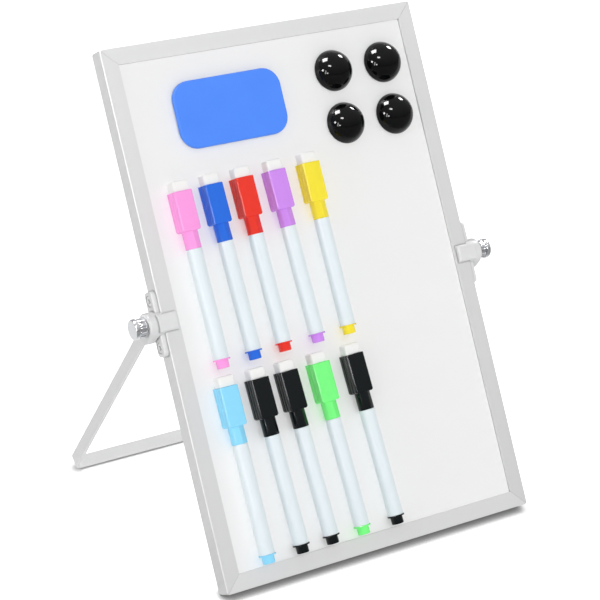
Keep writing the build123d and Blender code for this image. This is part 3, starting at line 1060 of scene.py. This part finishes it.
floor_angle = np.arange(floor_sides) * 2 * np.pi / floor_sides
floor_edge = floor_radius * np.stack([np.cos(floor_angle), np.sin(floor_angle),
                                      0 * floor_angle], -1)
floor_mesh = bpy.data.meshes.new("floor")
floor_mesh.from_pydata(floor_edge.tolist(), [], [list(range(floor_sides))])
floor_mesh.materials.append(pale_floor())
floor = bpy.data.objects.new("floor", floor_mesh)
bpy.context.scene.collection.objects.link(floor)
print("floor laid")

# %% [markdown]
# The room is white where the camera looks into it, and gives soft light from all round.
# Mirror-like surfaces see it darker towards the horizon, which is what gives chrome and
# glossy black their contrast.

# %% Room
ambient = 0.45
horizon = (0.22, 0.22, 0.225, 1.0)
zenith = (0.78, 0.78, 0.79, 1.0)
pure_white = (1.0, 1.0, 1.0, 1.0)
room = bpy.data.worlds.new("room")
bpy.context.scene.world = room
light = ShaderTree(room)
place = light.node("TexCoord", output="Generated")
height = light.node("SeparateXYZ", None, {0: place}, "Z")
ramp = light.node("ValToRGB", {"stops": [(0.0, horizon), (0.9, zenith)]}, {0: height})
for_camera, for_gloss = [light.node("LightPath", None, None, f"Is {kind} Ray")
                         for kind in ("Camera", "Glossy")]
soft = light.node("Background", None, {"Color": pure_white, "Strength": ambient})
mirrored = light.node("Background", None, {"Color": ramp, "Strength": 1.0})
white = light.node("Background", None, {"Color": pure_white, "Strength": 1.0})
lit = light.node("MixShader", None, {0: for_gloss, 1: soft, 2: mirrored})
seen = light.node("MixShader", None, {0: for_camera, 1: lit, 2: white})
light.node("OutputWorld", None, {"Surface": seen})
print("room lit at", ambient)

# %% [markdown]
# Three large soft lamps, in front and above, to the left and behind, give the faces a
# little modelling.  They cast no shadows, because light from so many sides leaves hardly
# any, and the gaps get their shade from the room's light.  Six small bright lamps light
# nothing: diffuse surfaces don't see them, and they only give gloss its glints, as windows
# and lamp boxes do.  The power of each is worked out from the level that it should show,
# so a lamp can be moved without changing how bright it is.

# %% Lamps
soft_distance = 3.6
glint_distance = 1.8
soft_lamps = {                       # direction from the pivot, width, height and level
    "modelling": ((-0.05, -0.80, 0.60), 2.0, 2.0, 5.3),
    "side_fill": ((-0.98, -0.05, 0.10), 2.0, 2.0, 2.8),
    "rear_fill": ((0.25, 0.90, 0.35), 2.0, 2.0, 2.6),
}
glints = {
    "glint_high": ((-0.352, 0.298, 0.883), 0.60, 0.66, 57.0),
    "glint_right": ((0.690, 0.290, 0.665), 0.36, 0.36, 57.0),
    "glint_near": ((-0.445, -0.436, 0.779), 0.44, 0.24, 50.0),
    "glint_left": ((-0.929, -0.118, 0.341), 0.28, 0.28, 57.0),
    "glint_edge": ((-0.871, -0.427, 0.241), 0.22, 0.60, 16.0),
    "glint_low": ((-0.774, -0.600, 0.195), 0.24, 0.16, 45.0),
}


def add_lamp(name, distance, direction, width, height, level):
    """Rectangular lamp at a distance along a direction.  Power is pi * area * level."""
    towards = Vector(direction).normalized()
    lamp = bpy.data.lights.new(name, "AREA")
    lamp.shape = "RECTANGLE"
    lamp.size = width
    lamp.size_y = height
    lamp.energy = math.pi * width * height * level
    holder = bpy.data.objects.new(name, lamp)
    holder.location = Vector(pivot) + towards * distance
    holder.rotation_euler = towards.to_track_quat("Z", "Y").to_euler()
    bpy.context.scene.collection.objects.link(holder)
    return holder


for name, settings in soft_lamps.items():
    lamp = add_lamp(name, soft_distance, *settings)
    lamp.data.use_shadow = False
    lamp.visible_glossy = False
for name, settings in glints.items():
    add_lamp(name, glint_distance, *settings).visible_diffuse = False
print(len(soft_lamps) + len(glints), "lamps")

# %% [markdown]
# A long lens from well back keeps the easel's upright lines nearly parallel, as in a
# product picture taken across a table.

# %% Camera
camera_place = [-0.59467, -0.92939, 0.50024]      # from the pivot
camera_heading = -32.116                          # degrees about the vertical
camera_dip = 24.747                               # below level
camera_roll = 1.475
lens = bpy.data.cameras.new("camera")
lens.sensor_width = 36.0
lens.lens = 127.76
lens.clip_end = 100.0
camera = bpy.data.objects.new("camera", lens)
camera.location = pivot + camera_place
turns = [(camera_heading, "Z"), (90 - camera_dip, "X"), (camera_roll, "Z")]
heading, pitch, roll = [Matrix.Rotation(math.radians(angle), 3, axis)
                        for angle, axis in turns]
camera.rotation_euler = (heading @ pitch @ roll).to_euler()
bpy.context.scene.collection.objects.link(camera)
bpy.context.scene.camera = camera
bpy.context.scene.view_settings.view_transform = "Standard"
print("camera set")
